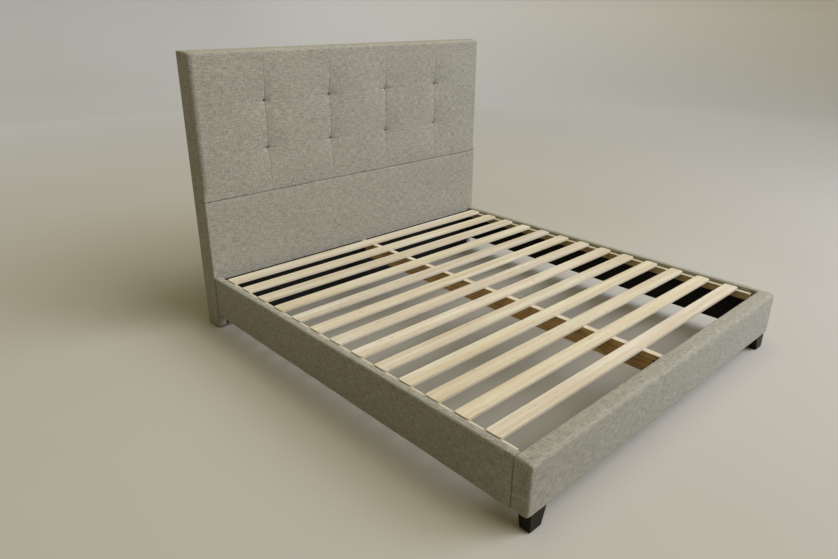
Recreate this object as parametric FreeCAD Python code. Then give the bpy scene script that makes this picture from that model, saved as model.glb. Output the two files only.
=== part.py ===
import FreeCAD, Part
import math
import os

# Upholstered bed for a king-size mattress: a tufted headboard that stands on the floor,
# two padded side rails, a padded footboard on two short tapered legs, a beam on edge down
# the middle and thirteen loose slats across.
#
# Millimetres, +Z up. Origin on the floor under the middle of the whole bed.
# +Y runs to the headboard, -Y to the foot, +X to the right seen from the foot.

# ---- driving dimensions ----
MATTRESS_LENGTH = 2032
BED_WIDTH = 2020
HEADBOARD_WIDTH = 2032
HEADBOARD_HEIGHT = 1438
HEADBOARD_DEPTH = 120
HEADBOARD_SEAM_Z = 707
FOOTBOARD_DEPTH = 76
RAIL_WIDTH = 38
RAIL_TOP = 298
RAIL_BOTTOM = 76

# Upholstery.
COVER = 2
LINING = 1
SIDE_FOAM = 13
TOP_FOAM = 8
LOWER_FOAM = 13
HEADBOARD_EDGE_RADIUS = 30
LOWER_EDGE_RADIUS = 9
HEADBOARD_LINING_BOTTOM = 18
RAIL_EDGE_RADIUS = 12
TURN_OVER = 40
TUFT_COLUMNS = (-618, -206, 206, 618)
TUFT_ROWS = (938, 1182)
TUFT_DEPTH = 13
TIE_RADIUS = 1.2
WASHER_RADIUS = 12
WASHER_THICKNESS = 2.5

# Headboard frame.
FRAME_DEPTH = 60
STILE_WIDTH = 60
STUD_WIDTH = 45
STUD_X = 412
UPPER_PANEL = 6
LOWER_PANEL = 12
PACKING_WIDTH = 104

# Slat deck.
SLAT_COUNT = 13
SLAT_WIDTH = 70
SLAT_THICKNESS = 15
SLAT_PITCH = 151.5
SLAT_END_GAP = 7
SLAT_CORNER_RADIUS = 12
SLAT_EDGE_RADIUS = 2
HEAD_TO_FIRST_SLAT = 50
DECK_BELOW_RAIL = 5
LEDGE_WIDTH = 24
LEDGE_HEIGHT = 38
LEDGE_END_GAP = 25
BEAM_WIDTH = 30
BEAM_HEIGHT = 95

# Footboard frame.
FOOT_BOARD = 18
SPACER_WIDTH = 60
END_SPACER_WIDTH = 100
FOOT_END_FOAM = 10

# Legs and feet.
LEG_TOP_WIDTH = 85
LEG_BOTTOM_WIDTH = 64
LEG_TOP_DEPTH = 60
LEG_BOTTOM_DEPTH = 47
LEG_SIDE_INSET = 26
LEG_FRONT_INSET = 3
LEG_EDGE_RADIUS = 2.5
LEG_GLIDE_HEIGHT = 3
LEG_GLIDE_RADIUS = 14
LEG_PLATE = 2
LEG_PLATE_SIZE = (56, 40)
HANGER_BOLT_RADIUS = 4
HANGER_BOLT_LENGTH = 70
HANGER_BOLT_IN_LEG = 25
HEADBOARD_GLIDE_HEIGHT = 6
HEADBOARD_GLIDE_RADIUS = 15
HEADBOARD_GLIDE_X = (-984, -328, 328, 984)

# Corner brackets, beam shoes and their fasteners.
BRACKET = 3
BRACKET_REACH = 58
RAIL_BOLT_OUT = 35
BRACKET_Z = (102, 222)
BOLT_Z = (132, 192)
BOLT_RADIUS = 4
BOLT_HEAD = 5
BOLT_ACROSS_FLATS = 13
NUT_HEIGHT = 7
BOLT_END = 3
HOLE_CLEARANCE = 0.3
SHOE = 2
SHOE_REACH = 40
SHOE_HALF_PLATE = 42
SHOE_TOP = 254
SHOE_SCREW_X = 30
SHOE_SCREW_Z = (201, 241)
SCREW_RADIUS = 2.2
SCREW_HEAD_RADIUS = 4.4
SCREW_HEAD = 2.4
SHOE_SCREW_LENGTH = 30
LEDGE_SCREWS = 9
LEDGE_SCREW_LENGTH = 44

# ---- worked out from them ----
HEAD_BACK = (HEADBOARD_DEPTH + MATTRESS_LENGTH + FOOTBOARD_DEPTH) / 2
HEAD_FRONT = HEAD_BACK - HEADBOARD_DEPTH
FOOT_FRONT = -HEAD_BACK
FOOT_INNER = FOOT_FRONT + FOOTBOARD_DEPTH
HALF_BED = BED_WIDTH / 2
RAIL_INNER = HALF_BED - RAIL_WIDTH
SIDE_NAMES = {-1: "left", 1: "right"}

# The headboard's layers, from the front to the back.
HALF_HEADBOARD = HEADBOARD_WIDTH / 2
HALF_CORE = HALF_HEADBOARD - COVER
LINING_FRONT = HEAD_FRONT - LINING
CORE_FRONT = HEAD_FRONT + COVER
LOWER_PANEL_FRONT = CORE_FRONT + LOWER_FOAM
LOWER_PANEL_BACK = LOWER_PANEL_FRONT + LOWER_PANEL
FRAME_BACK = HEAD_BACK - COVER
FRAME_FRONT = FRAME_BACK - FRAME_DEPTH
UPPER_PANEL_FRONT = FRAME_FRONT - UPPER_PANEL
CORE_TOP = HEADBOARD_HEIGHT - COVER
CORE_BOTTOM = HEADBOARD_GLIDE_HEIGHT + COVER
STILE_INNER = HALF_CORE - STILE_WIDTH

# The slat deck's heights.
DECK_TOP = RAIL_TOP - DECK_BELOW_RAIL
DECK_BOTTOM = DECK_TOP - SLAT_THICKNESS
LEDGE_BOTTOM = DECK_BOTTOM - LEDGE_HEIGHT
BEAM_BOTTOM = DECK_BOTTOM - BEAM_HEIGHT
SLAT_HALF_LENGTH = RAIL_INNER - SLAT_END_GAP

# The rail's and footboard's timber, inside the cover and foam.
RAIL_BOARD_OUTER = HALF_BED - COVER - SIDE_FOAM
TIMBER_BOTTOM = RAIL_BOTTOM + COVER
TIMBER_TOP = RAIL_TOP - COVER - TOP_FOAM
FOOT_TIMBER_FRONT = FOOT_FRONT + COVER + SIDE_FOAM
FOOT_TIMBER_BACK = FOOT_INNER - COVER
FOOT_TIMBER_HALF = HALF_BED - COVER - FOOT_END_FOAM
SPACER_FRONT = FOOT_TIMBER_FRONT + FOOT_BOARD
SPACER_BACK = FOOT_TIMBER_BACK - FOOT_BOARD
LEG_TOP = RAIL_BOTTOM - LEG_PLATE
LEG_OUTER = HALF_BED - LEG_SIDE_INSET
LEG_FRONT = FOOT_FRONT + LEG_FRONT_INSET
LEG_BOLT_X = LEG_OUTER - LEG_TOP_WIDTH / 2
LEG_BOLT_Y = (SPACER_FRONT + SPACER_BACK) / 2
BRACKET_BOLT_X = RAIL_INNER - BRACKET_REACH / 2 - BRACKET


# ---- helpers ----
def box(x0, x1, y0, y1, z0, z1):
    """Box between two corners, given in either order."""
    low = FreeCAD.Vector(min(x0, x1), min(y0, y1), min(z0, z1))
    return Part.makeBox(abs(x1 - x0), abs(y1 - y0), abs(z1 - z0), low)


def cylinder(radius, length, start, direction):
    return Part.makeCylinder(radius, length, FreeCAD.Vector(*start), FreeCAD.Vector(*direction))


def hexagon(across_flats, height, start, direction):
    """Hexagonal prism from start along direction, as for a bolt's head or a nut."""
    radius = across_flats / math.sqrt(3)
    corners = []
    for corner in range(7):
        angle = math.radians(60 * corner)
        corners.append(FreeCAD.Vector(radius * math.cos(angle), radius * math.sin(angle), 0))
    prism = Part.Face(Part.makePolygon(corners)).extrude(FreeCAD.Vector(0, 0, height))
    turn = FreeCAD.Rotation(FreeCAD.Vector(0, 0, 1), FreeCAD.Vector(*direction))
    prism.Placement = FreeCAD.Placement(FreeCAD.Vector(*start), turn)
    return prism


def rounded(shape, radius, keep):
    """Round the edges whose middle point passes the keep test."""
    edges = [edge for edge in shape.Edges if keep(edge.CenterOfMass)]
    return shape.makeFillet(radius, edges)


def without(shape, *cutters):
    """The shape less every cutter that reaches it."""
    for cutter in cutters:
        if shape.BoundBox.intersect(cutter.BoundBox):
            shape = shape.cut(cutter)
    return shape


def save(name, *shapes):
    """Write one node: one or more separate closed solids."""
    solids = [solid for shape in shapes for solid in shape.Solids]
    Part.makeCompound(solids).exportStep(f"parts/{name}.step")


# ---- fasteners ----
def bracket_places():
    """Each corner bracket: side, plane of the face it is bolted to, way into that face."""
    for side in SIDE_NAMES:
        yield side, LINING_FRONT, 1
        yield side, FOOT_INNER, -1


def bracket_bolt_lines():
    """Each bracket bolt: start on the bracket, direction, depth to the far face of the timber."""
    for side, plane, way in bracket_places():
        head_end = way > 0
        timber_far = FRAME_FRONT if head_end else SPACER_BACK
        for z in BOLT_Z:
            face_start = (side * BRACKET_BOLT_X, plane - way * BRACKET, z)
            yield face_start, (0, way, 0), abs(timber_far - plane) + BRACKET
            rail_start = (side * (RAIL_INNER - BRACKET), plane - way * RAIL_BOLT_OUT, z)
            yield rail_start, (side, 0, 0), RAIL_BOARD_OUTER - RAIL_INNER + BRACKET


def along(start, direction, distance):
    """The point that lies a distance from start along direction."""
    return tuple(s + d * distance for s, d in zip(start, direction))


def bolt(start, direction, grip):
    """Hex bolt whose head sits on start, long enough to pass through its nut."""
    back = along(start, direction, -BOLT_HEAD)
    head = hexagon(BOLT_ACROSS_FLATS, BOLT_HEAD, back, direction)
    shank = cylinder(BOLT_RADIUS, grip + NUT_HEIGHT + BOLT_END, start, direction)
    return head.fuse(shank)


def nut(start, direction, grip):
    body = hexagon(BOLT_ACROSS_FLATS, NUT_HEIGHT, along(start, direction, grip), direction)
    return body.cut(cylinder(BOLT_RADIUS, grip + NUT_HEIGHT + BOLT_END, start, direction))


def bolt_holes():
    """Drilled holes for every bracket bolt, with room round the nut's outer end."""
    holes = []
    for start, direction, grip in bracket_bolt_lines():
        holes.append(cylinder(BOLT_RADIUS + HOLE_CLEARANCE, grip, start, direction))
        pocket_start = along(start, direction, grip)
        pocket_radius = BOLT_ACROSS_FLATS / math.sqrt(3) + 1
        holes.append(cylinder(pocket_radius, NUT_HEIGHT + BOLT_END + 1, pocket_start, direction))
    return holes


def countersunk_screw(start, direction, length, clearance=0.0):
    """Screw with its flat head flush at start; clearance makes it the hole instead."""
    vector = FreeCAD.Vector(*direction)
    head = Part.makeCone(SCREW_HEAD_RADIUS + clearance, SCREW_RADIUS + clearance, SCREW_HEAD,
                         FreeCAD.Vector(*start), vector)
    return head.fuse(cylinder(SCREW_RADIUS + clearance, length + clearance, start, direction))


def round_head_screw(start, direction, length, clearance=0.0):
    """Screw with a low round head standing out of start; clearance makes it the hole."""
    shank = cylinder(SCREW_RADIUS + clearance, length + clearance, start, direction)
    back = along(start, direction, -SCREW_HEAD)
    return shank.fuse(cylinder(SCREW_HEAD_RADIUS, SCREW_HEAD, back, direction))


def ledge_screw_lines():
    first = FOOT_INNER + SLAT_PITCH / 2
    step = (HEAD_FRONT - FOOT_INNER - SLAT_PITCH) / (LEDGE_SCREWS - 1)
    z = (LEDGE_BOTTOM + DECK_BOTTOM) / 2
    for side in SIDE_NAMES:
        for index in range(LEDGE_SCREWS):
            yield (side * (RAIL_INNER - LEDGE_WIDTH), first + index * step, z), (side, 0, 0)


def ledge_screw_holes():
    return [countersunk_screw(start, direction, LEDGE_SCREW_LENGTH, HOLE_CLEARANCE)
            for start, direction in ledge_screw_lines()]


def shoe_screw_lines():
    for plane, way in ((LINING_FRONT, 1), (FOOT_INNER, -1)):
        for x in (-SHOE_SCREW_X, SHOE_SCREW_X):
            for z in SHOE_SCREW_Z:
                yield (x, plane - way * SHOE, z), (0, way, 0)


def shoe_screw_holes():
    return [cylinder(SCREW_RADIUS + HOLE_CLEARANCE, SHOE_SCREW_LENGTH + HOLE_CLEARANCE,
                     start, direction) for start, direction in shoe_screw_lines()]


def make_fasteners():
    lines = list(bracket_bolt_lines())
    save("bracket_bolts", *[bolt(*line) for line in lines])
    save("bracket_nuts", *[nut(*line) for line in lines])
    save("ledge_screws", *[countersunk_screw(start, direction, LEDGE_SCREW_LENGTH)
                           for start, direction in ledge_screw_lines()])
    save("beam_shoe_screws", *[round_head_screw(start, direction, SHOE_SCREW_LENGTH)
                               for start, direction in shoe_screw_lines()])


# ---- headboard ----
def headboard_block(inset, z0, z1, radius, round_top):
    """The headboard between two heights, set in by inset on its front, sides and back."""
    half = HALF_HEADBOARD - inset
    front = HEAD_FRONT + inset
    shape = box(-half, half, front, HEAD_BACK - inset, z0, z1)

    def outside_edge(point):
        at_side = abs(abs(point.x) - half) < 1
        at_front = abs(point.y - front) < 1
        at_top = abs(point.z - z1) < 1
        return (at_side and at_front) or (round_top and at_top and (at_side or at_front))

    return rounded(shape, radius, outside_edge)


def tuft_points():
    return [(x, z) for x in TUFT_COLUMNS for z in TUFT_ROWS]


def tuft_rods(radius, y0, y1):
    return [cylinder(radius, y1 - y0, (x, y0, z), (0, 1, 0)) for x, z in tuft_points()]


def make_headboard_covers(upper_core, lower_core):
    """The two fabric covers, turned over the frame at the back, and the cloth between."""
    cloth = box(TURN_OVER - HALF_HEADBOARD, HALF_HEADBOARD - TURN_OVER, FRAME_BACK, HEAD_BACK,
                HEADBOARD_GLIDE_HEIGHT + TURN_OVER, HEADBOARD_HEIGHT - TURN_OVER)
    upper = headboard_block(0, HEADBOARD_SEAM_Z, HEADBOARD_HEIGHT, HEADBOARD_EDGE_RADIUS, True)
    lower = headboard_block(0, HEADBOARD_GLIDE_HEIGHT, HEADBOARD_SEAM_Z, LOWER_EDGE_RADIUS, False)
    save("headboard_upper_cover", upper.cut(upper_core).cut(cloth))
    save("headboard_lower_cover", without(lower, lower_core, cloth, *bolt_holes(), *shoe_screw_holes()))
    save("headboard_back_cloth", cloth)


def make_headboard_padding(upper_core, lower_core):
    tie_holes = tuft_rods(TIE_RADIUS + HOLE_CLEARANCE, CORE_FRONT, FRAME_FRONT)
    front = box(-HALF_CORE, HALF_CORE, CORE_FRONT, UPPER_PANEL_FRONT, 0, HEADBOARD_HEIGHT)
    save("headboard_upper_foam", without(upper_core.common(front), *tie_holes))
    panel = box(-HALF_CORE, HALF_CORE, UPPER_PANEL_FRONT, FRAME_FRONT, 0, HEADBOARD_HEIGHT)
    save("headboard_upper_panel", without(upper_core.common(panel), *tie_holes))

    holes = bolt_holes() + shoe_screw_holes()
    front = box(-HALF_CORE, HALF_CORE, CORE_FRONT, LOWER_PANEL_FRONT, 0, HEADBOARD_HEIGHT)
    save("headboard_lower_foam", without(lower_core.common(front), *holes))
    panel = box(-HALF_CORE, HALF_CORE, LOWER_PANEL_FRONT, LOWER_PANEL_BACK, 0, HEADBOARD_HEIGHT)
    save("headboard_lower_panel", without(lower_core.common(panel), *holes))


def make_tufts():
    """Twine ties that pull the cover in, each held by a washer behind the panel."""
    far = FRAME_FRONT + WASHER_THICKNESS
    save("tuft_ties", *tuft_rods(TIE_RADIUS, HEAD_FRONT + TUFT_DEPTH, far))
    holes = tuft_rods(TIE_RADIUS, FRAME_FRONT, far)
    discs = tuft_rods(WASHER_RADIUS, FRAME_FRONT, far)
    save("tuft_washers", *[disc.cut(hole) for disc, hole in zip(discs, holes)])


def make_headboard_frame(upper_core, lower_core):
    core = upper_core.fuse(lower_core).removeSplitter()
    for side, name in SIDE_NAMES.items():
        stile = box(side * STILE_INNER, side * HALF_CORE, FRAME_FRONT, FRAME_BACK, CORE_BOTTOM, CORE_TOP)
        save(f"headboard_{name}_stile", core.common(stile))

    middle = HEADBOARD_SEAM_Z - STILE_WIDTH / 2
    for name, z in (("top", CORE_TOP - STILE_WIDTH), ("mid", middle), ("bottom", CORE_BOTTOM)):
        rail = box(-STILE_INNER, STILE_INNER, FRAME_FRONT, FRAME_BACK, z, z + STILE_WIDTH)
        save(f"headboard_{name}_rail", rail)

    studs = []
    lower_gap = (CORE_BOTTOM + STILE_WIDTH, middle)
    upper_gap = (middle + STILE_WIDTH, CORE_TOP - STILE_WIDTH)
    for x in (-STUD_X, STUD_X):
        for z0, z1 in (lower_gap, upper_gap):
            studs.append(box(x - STUD_WIDTH / 2, x + STUD_WIDTH / 2, FRAME_FRONT, FRAME_BACK, z0, z1))
    save("headboard_studs", *studs)

    upright = HALF_CORE - PACKING_WIDTH
    strips = [box(side * upright, side * HALF_CORE, LOWER_PANEL_BACK, FRAME_FRONT,
                  CORE_BOTTOM, HEADBOARD_SEAM_Z) for side in SIDE_NAMES]
    for z in (CORE_BOTTOM, HEADBOARD_SEAM_Z - STILE_WIDTH):
        strips.append(box(-upright, upright, LOWER_PANEL_BACK, FRAME_FRONT, z, z + STILE_WIDTH))
    save("headboard_packing_strips", *[without(strip, *bolt_holes()) for strip in strips])


def make_headboard_trim():
    """Black lining over the cover between the rails, and the plastic glides underneath."""
    lining = box(-RAIL_INNER, RAIL_INNER, LINING_FRONT, HEAD_FRONT, HEADBOARD_LINING_BOTTOM, DECK_BOTTOM)
    save("headboard_lining", without(lining, *bolt_holes(), *shoe_screw_holes()))
    y = (FRAME_FRONT + FRAME_BACK) / 2
    glides = [cylinder(HEADBOARD_GLIDE_RADIUS, HEADBOARD_GLIDE_HEIGHT, (x, y, 0), (0, 0, 1))
              for x in HEADBOARD_GLIDE_X]
    save("headboard_glides", *glides)


def make_headboard():
    upper_core = headboard_block(COVER, HEADBOARD_SEAM_Z, CORE_TOP, HEADBOARD_EDGE_RADIUS - COVER, True)
    lower_core = headboard_block(COVER, CORE_BOTTOM, HEADBOARD_SEAM_Z, LOWER_EDGE_RADIUS - COVER, False)
    make_headboard_covers(upper_core, lower_core)
    make_headboard_padding(upper_core, lower_core)
    make_tufts()
    make_headboard_frame(upper_core, lower_core)
    make_headboard_trim()


# ---- side rails ----
def rail_block(side, inset):
    """A side rail set in by inset, with its two top edges rounded."""
    top = RAIL_TOP - inset
    shape = box(side * (RAIL_INNER + inset), side * (HALF_BED - inset),
                FOOT_INNER, HEAD_FRONT, RAIL_BOTTOM + inset, top)

    def long_top_edge(point):
        return abs(point.z - top) < 1 and abs(point.y - (FOOT_INNER + HEAD_FRONT) / 2) < 1

    return rounded(shape, RAIL_EDGE_RADIUS - inset, long_top_edge)


def make_side_rail(side, name):
    holes = bolt_holes() + ledge_screw_holes()
    core = rail_block(side, COVER)
    lining = box(side * RAIL_INNER, side * (RAIL_INNER + COVER), FOOT_INNER, HEAD_FRONT,
                 TIMBER_BOTTOM, LEDGE_BOTTOM)
    timber = box(side * RAIL_INNER, side * RAIL_BOARD_OUTER, FOOT_INNER, HEAD_FRONT,
                 TIMBER_BOTTOM, TIMBER_TOP)
    save(f"{name}_rail_cover", without(rail_block(side, 0).cut(core).cut(lining), *holes))
    save(f"{name}_rail_lining", without(lining, *holes))
    save(f"{name}_rail_board", without(core.common(timber), *holes))
    save(f"{name}_rail_foam", without(core.cut(timber), *holes))

    ledge = box(side * (RAIL_INNER - LEDGE_WIDTH), side * RAIL_INNER, FOOT_INNER + LEDGE_END_GAP,
                LINING_FRONT - LEDGE_END_GAP, LEDGE_BOTTOM, DECK_BOTTOM)
    save(f"{name}_slat_ledge", without(ledge, *ledge_screw_holes()))


def make_corner_brackets():
    """Steel angles that bolt each rail's inner face to the headboard and the footboard."""
    ends = {1: [], -1: []}
    for side, plane, way in bracket_places():
        inner = side * (RAIL_INNER - BRACKET)
        on_rail = box(inner, side * RAIL_INNER, plane, plane - way * BRACKET_REACH, *BRACKET_Z)
        on_face = box(inner, side * (RAIL_INNER - BRACKET_REACH), plane, plane - way * BRACKET, *BRACKET_Z)
        angle = on_rail.fuse(on_face).removeSplitter()
        ends[way].append(without(angle, *bolt_holes()))
    save("head_corner_brackets", *ends[1])
    save("foot_corner_brackets", *ends[-1])


# ---- footboard ----
def footboard_block(inset):
    """The footboard set in by inset, with its front corners and top edges rounded."""
    half = HALF_BED - inset
    front = FOOT_FRONT + inset
    top = RAIL_TOP - inset
    shape = box(-half, half, front, FOOT_INNER - inset, RAIL_BOTTOM + inset, top)

    def soft_edge(point):
        at_side = abs(abs(point.x) - half) < 1
        at_front = abs(point.y - front) < 1
        return abs(point.z - top) < 1 or (at_side and at_front)

    return rounded(shape, RAIL_EDGE_RADIUS - inset, soft_edge)


def leg_bolt(side, clearance=0.0):
    start = (side * LEG_BOLT_X, LEG_BOLT_Y, LEG_TOP - HANGER_BOLT_IN_LEG - clearance)
    length = HANGER_BOLT_LENGTH + 2 * clearance
    return cylinder(HANGER_BOLT_RADIUS + clearance, length, start, (0, 0, 1))


def make_footboard():
    holes = bolt_holes() + shoe_screw_holes()
    holes += [leg_bolt(side, HOLE_CLEARANCE) for side in SIDE_NAMES]
    core = footboard_block(COVER)
    timber = box(-FOOT_TIMBER_HALF, FOOT_TIMBER_HALF, FOOT_TIMBER_FRONT, FOOT_INNER,
                 TIMBER_BOTTOM, TIMBER_TOP)
    lining = box(-RAIL_INNER, RAIL_INNER, FOOT_TIMBER_BACK, FOOT_INNER, TIMBER_BOTTOM, LEDGE_BOTTOM)
    save("foot_cover", without(footboard_block(0).cut(core).cut(lining), *holes))
    save("foot_lining", without(lining, *holes))
    save("foot_foam", without(core.cut(timber), *holes))

    front_layer = (FOOT_TIMBER_FRONT, SPACER_FRONT)
    inner_layer = (SPACER_BACK, FOOT_TIMBER_BACK)
    for name, (y0, y1) in (("front", front_layer), ("inner", inner_layer)):
        board = box(-FOOT_TIMBER_HALF, FOOT_TIMBER_HALF, y0, y1, TIMBER_BOTTOM, TIMBER_TOP)
        save(f"foot_{name}_board", without(core.common(board), *holes))

    spacers = []
    for x in (-FOOT_TIMBER_HALF / 2, 0, FOOT_TIMBER_HALF / 2):
        spacers.append((x - SPACER_WIDTH / 2, x + SPACER_WIDTH / 2))
    for side in SIDE_NAMES:
        middle = side * LEG_BOLT_X
        spacers.append((middle - END_SPACER_WIDTH / 2, middle + END_SPACER_WIDTH / 2))
    blocks = [box(x0, x1, SPACER_FRONT, SPACER_BACK, TIMBER_BOTTOM, TIMBER_TOP) for x0, x1 in spacers]
    save("foot_spacer_blocks", *[without(block, *holes) for block in blocks])


# ---- legs ----
def leg_outline(side, width, depth, z):
    """Rectangle at height z; the leg tapers only on its inner and back sides."""
    outer = side * LEG_OUTER
    inner = side * (LEG_OUTER - width)
    back = LEG_FRONT + depth
    corners = [(outer, LEG_FRONT), (inner, LEG_FRONT), (inner, back), (outer, back)]
    points = [FreeCAD.Vector(x, y, z) for x, y in corners]
    return Part.makePolygon(points + points[:1])


def make_legs():
    glides = []
    plates = []
    for side, name in SIDE_NAMES.items():
        bottom = leg_outline(side, LEG_BOTTOM_WIDTH, LEG_BOTTOM_DEPTH, LEG_GLIDE_HEIGHT)
        top = leg_outline(side, LEG_TOP_WIDTH, LEG_TOP_DEPTH, LEG_TOP)
        leg = Part.makeLoft([bottom, top], True, True)
        middle = (LEG_GLIDE_HEIGHT + LEG_TOP) / 2
        leg = rounded(leg, LEG_EDGE_RADIUS, lambda point: abs(point.z - middle) < 1)
        save(f"{name}_leg", leg.cut(leg_bolt(side, HOLE_CLEARANCE)))

        glide_x = side * (LEG_OUTER - LEG_BOTTOM_WIDTH / 2)
        glide_y = LEG_FRONT + LEG_BOTTOM_DEPTH / 2
        glides.append(cylinder(LEG_GLIDE_RADIUS, LEG_GLIDE_HEIGHT, (glide_x, glide_y, 0), (0, 0, 1)))
        half_x = LEG_PLATE_SIZE[0] / 2
        plate_y = LEG_FRONT + LEG_TOP_DEPTH - LEG_PLATE_SIZE[1] - LEG_FRONT_INSET
        plate = box(side * LEG_BOLT_X - half_x, side * LEG_BOLT_X + half_x,
                    plate_y, plate_y + LEG_PLATE_SIZE[1], LEG_TOP, RAIL_BOTTOM)
        plates.append(plate.cut(leg_bolt(side, HOLE_CLEARANCE)))
    save("leg_glides", *glides)
    save("leg_plates", *plates)
    save("leg_hanger_bolts", *[leg_bolt(side) for side in SIDE_NAMES])


# ---- beam and slats ----
def make_beam():
    """Beam on edge down the middle, each end held in a steel shoe."""
    half = BEAM_WIDTH / 2
    save("centre_beam", box(-half, half, FOOT_INNER + SHOE, LINING_FRONT - SHOE, BEAM_BOTTOM, DECK_BOTTOM))

    shoes = []
    for plane, way in ((LINING_FRONT, 1), (FOOT_INNER, -1)):
        near = plane - way * SHOE
        far = plane - way * SHOE_REACH
        shoe = box(-SHOE_HALF_PLATE, SHOE_HALF_PLATE, plane, near, BEAM_BOTTOM - SHOE, SHOE_TOP)
        shoe = shoe.fuse(box(-half - SHOE, half + SHOE, near, far, BEAM_BOTTOM - SHOE, BEAM_BOTTOM))
        for side in SIDE_NAMES:
            cheek = box(side * half, side * (half + SHOE), near, far, BEAM_BOTTOM - SHOE, SHOE_TOP)
            shoe = shoe.fuse(cheek)
        shoes.append(without(shoe.removeSplitter(), *shoe_screw_holes()))
    save("beam_shoes", *shoes)


def make_slats():
    """Loose slats that lie across the ledges and the beam, with soft corners and edges."""
    for index in range(SLAT_COUNT):
        back = HEAD_FRONT - HEAD_TO_FIRST_SLAT - index * SLAT_PITCH
        slat = box(-SLAT_HALF_LENGTH, SLAT_HALF_LENGTH, back - SLAT_WIDTH, back, DECK_BOTTOM, DECK_TOP)
        middle = (DECK_BOTTOM + DECK_TOP) / 2
        slat = rounded(slat, SLAT_CORNER_RADIUS, lambda point: abs(point.z - middle) < 1)
        slat = rounded(slat, SLAT_EDGE_RADIUS, lambda point: abs(point.z - middle) > 1)
        save(f"slat_{index + 1:02d}", slat)


os.makedirs("parts", exist_ok=True)
make_headboard()
for rail_side, rail_name in SIDE_NAMES.items():
    make_side_rail(rail_side, rail_name)
make_corner_brackets()
make_footboard()
make_legs()
make_beam()
make_slats()
make_fasteners()
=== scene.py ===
import math

import bmesh
import bpy
import numpy as np
from mathutils import Matrix, Vector


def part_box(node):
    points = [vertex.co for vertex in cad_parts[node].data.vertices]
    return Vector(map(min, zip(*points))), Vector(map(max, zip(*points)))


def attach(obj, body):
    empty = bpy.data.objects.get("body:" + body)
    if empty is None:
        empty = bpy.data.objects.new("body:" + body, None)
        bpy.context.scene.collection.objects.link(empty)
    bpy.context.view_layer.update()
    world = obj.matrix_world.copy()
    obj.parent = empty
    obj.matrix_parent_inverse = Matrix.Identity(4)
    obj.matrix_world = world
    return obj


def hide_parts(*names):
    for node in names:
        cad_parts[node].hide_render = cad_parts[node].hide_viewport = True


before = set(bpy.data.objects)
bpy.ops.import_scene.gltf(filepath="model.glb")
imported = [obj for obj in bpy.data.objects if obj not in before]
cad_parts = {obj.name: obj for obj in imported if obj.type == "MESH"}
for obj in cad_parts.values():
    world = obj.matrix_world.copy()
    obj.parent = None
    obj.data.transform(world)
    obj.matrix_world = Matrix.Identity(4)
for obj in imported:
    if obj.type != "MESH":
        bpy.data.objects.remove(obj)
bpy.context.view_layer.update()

# The looks of an upholstered bed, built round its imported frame. Metres, +Z up, headboard at +Y.

FRAME_BODY = "frame"
MM = 0.001
SAME_PLACE = 1e-6  # points closer than this lie in one place
TINY = 1e-9  # a length that counts as none
STATION_GAP = 0.0015  # the least distance between two stations of a lattice
ONLY_MARKS = 9  # a step longer than any side, so that only the marks give stations


# ---- mesh tools ----
def stations(low, high, step, marks=(), near=()):
    """Positions from low to high, about step apart.

    Round each mark there are extra ones, at the offsets in near.
    """
    fixed = {low, high}
    for mark in marks:
        for offset in near:
            fixed.update((mark - offset, mark + offset))
    fixed = sorted(p for p in fixed if low - TINY <= p <= high + TINY)
    found = [fixed[0]]
    for start, end in zip(fixed, fixed[1:]):
        if end - start < SAME_PLACE:
            continue
        count = max(1, round((end - start) / step))
        found += [start + (end - start) * i / count for i in range(1, count + 1)]
    return np.array(found)


def thinned(values):
    """Stations without those that lie too close to the one before."""
    kept = [values[0]]
    for value in values[1:]:
        if value - kept[-1] > STATION_GAP:
            kept.append(value)
    kept[-1] = values[-1]
    return np.array(kept)


def block_mesh(name, xs, ys, zs, radii, skip=None):
    """A block on a lattice of stations, its edges rounded.

    radii(points) gives each point's rounding at the low and the high sides along X, Y and Z.
    skip(axis, far, middle) is true for a face's cell, by its middle, that is left out.
    """
    index, points, faces, sides = {}, [], [], []
    stops = (xs, ys, zs)

    def vertex(key):
        if key not in index:
            index[key] = len(points)
            points.append([stop[i] for stop, i in zip(stops, key)])
        return index[key]

    for axis in range(3):
        u, v = (axis + 1) % 3, (axis + 2) % 3
        for end in (0, len(stops[axis]) - 1):
            for a in range(len(stops[u]) - 1):
                for b in range(len(stops[v]) - 1):
                    middle = [0.0, 0.0, 0.0]
                    middle[axis] = stops[axis][end]
                    middle[u] = (stops[u][a] + stops[u][a + 1]) / 2
                    middle[v] = (stops[v][b] + stops[v][b + 1]) / 2
                    if skip and skip(axis, end > 0, middle):
                        continue
                    corners = []
                    for da, db in ((0, 0), (1, 0), (1, 1), (0, 1)):
                        at = [0, 0, 0]
                        at[axis], at[u], at[v] = end, a + da, b + db
                        corners.append(vertex(tuple(at)))
                    faces.append(corners if end else corners[::-1])
                    sides.append((axis, end > 0))
    points = np.array(points)
    low = np.array([xs[0], ys[0], zs[0]])
    high = np.array([xs[-1], ys[-1], zs[-1]])
    low_size, high_size = radii(points)
    core = np.clip(points, low + low_size, high - high_size)
    reach = np.where(points < core, low_size, high_size)
    away = (points - core) / reach
    length = np.maximum(np.linalg.norm(away, axis=1, keepdims=True), TINY)
    rounded = np.where(np.abs(away) > TINY, core + away / length * reach, points)
    mesh = bpy.data.meshes.new(name)
    mesh.from_pydata(rounded.tolist(), [], faces)
    mesh.update()
    return mesh, points, sides


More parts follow.
